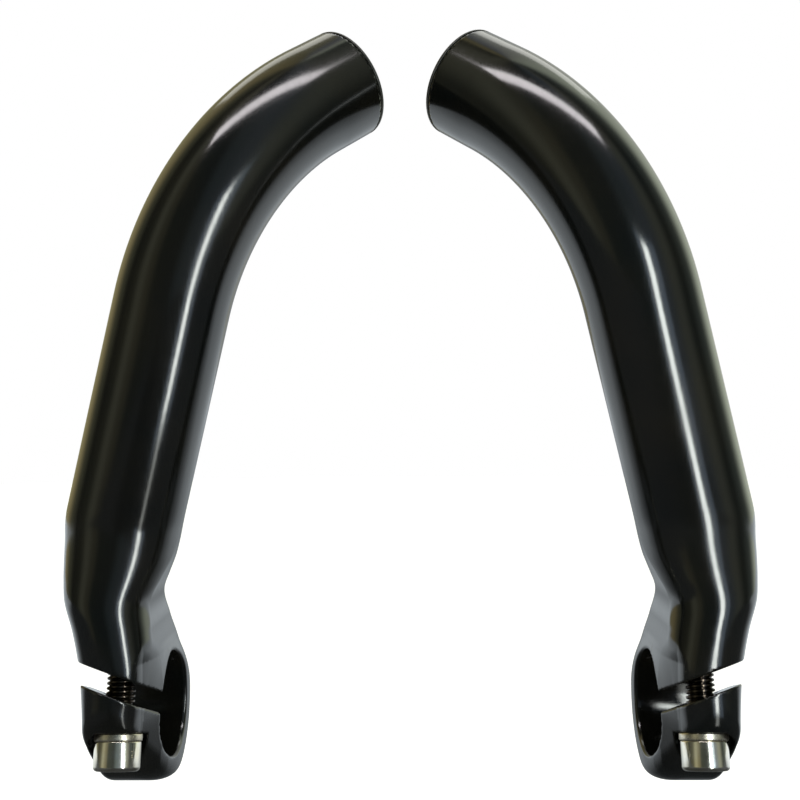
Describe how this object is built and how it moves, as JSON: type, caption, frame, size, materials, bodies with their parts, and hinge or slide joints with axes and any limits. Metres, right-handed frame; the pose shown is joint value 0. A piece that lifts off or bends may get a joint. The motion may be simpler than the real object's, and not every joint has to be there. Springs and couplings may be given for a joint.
{
  "type": "bar end grips",
  "caption": "Mirrored pair of bent hollow aluminium bar ends with split clamps, socket head clamp screws, washers and push-in end plugs",
  "frame": {"origin": "on the handlebar's axis, midway between the two clamps", "axes": "+X along the handlebar from the left grip to the right one, +Z along the grips towards their tips, -Y towards the clamp slits and screws"},
  "size_m": [0.1466, 0.0471, 0.1658],
  "materials": {
    "black_anodised": "polished, black anodised",
    "bright_steel": "zinc plated, bright",
    "black_plastic": "satin moulded"
  },
  "bodies": {
    "left_grip": {"left_grip_body": "black_anodised"},
    "left_washer": {"left_washer": "bright_steel"},
    "left_screw": {"left_clamp_screw": "bright_steel"},
    "left_plug": {"left_end_plug": "black_plastic"},
    "right_grip": {"right_grip_body": "black_anodised"},
    "right_washer": {"right_washer": "bright_steel"},
    "right_screw": {"right_clamp_screw": "bright_steel"},
    "right_plug": {"right_end_plug": "black_plastic"}
  },
  "joints": [
    {"name": "right_grip_angle", "type": "hinge", "parent": "left_grip", "child": "right_grip", "pos_m": [0, 0, 0], "axis": [1, 0, 0], "continuous": true},
    {"name": "left_washer_slide", "type": "slide", "parent": "left_grip", "child": "left_washer", "axis": [0, -0.2672, -0.9636], "range_m": [0, 0.008]},
    {"name": "left_screw_turn", "type": "hinge", "parent": "left_washer", "child": "left_screw", "pos_m": [-0.0595, -0.018, -0.0016], "axis": [0, -0.2672, -0.9636], "range_deg": [0, 2880]},
    {"name": "left_plug_pull", "type": "slide", "parent": "left_grip", "child": "left_plug", "axis": [0.6871, 0.5135, 0.514], "range_m": [0, 0.0045]},
    {"name": "right_washer_slide", "type": "slide", "parent": "right_grip", "child": "right_washer", "axis": [0, -0.2672, -0.9636], "range_m": [0, 0.008]},
    {"name": "right_screw_turn", "type": "hinge", "parent": "right_washer", "child": "right_screw", "pos_m": [0.0595, -0.018, -0.0016], "axis": [0, -0.2672, -0.9636], "range_deg": [0, 2880]},
    {"name": "right_plug_pull", "type": "slide", "parent": "right_grip", "child": "right_plug", "axis": [-0.6871, 0.5135, 0.514], "range_m": [0, 0.0045]}
  ],
  "couplings": [
    {"joint": "left_screw_turn", "follows": "left_washer_slide", "rad_per_m": 6283.2},
    {"joint": "right_screw_turn", "follows": "right_washer_slide", "rad_per_m": 6283.2}
  ]
}
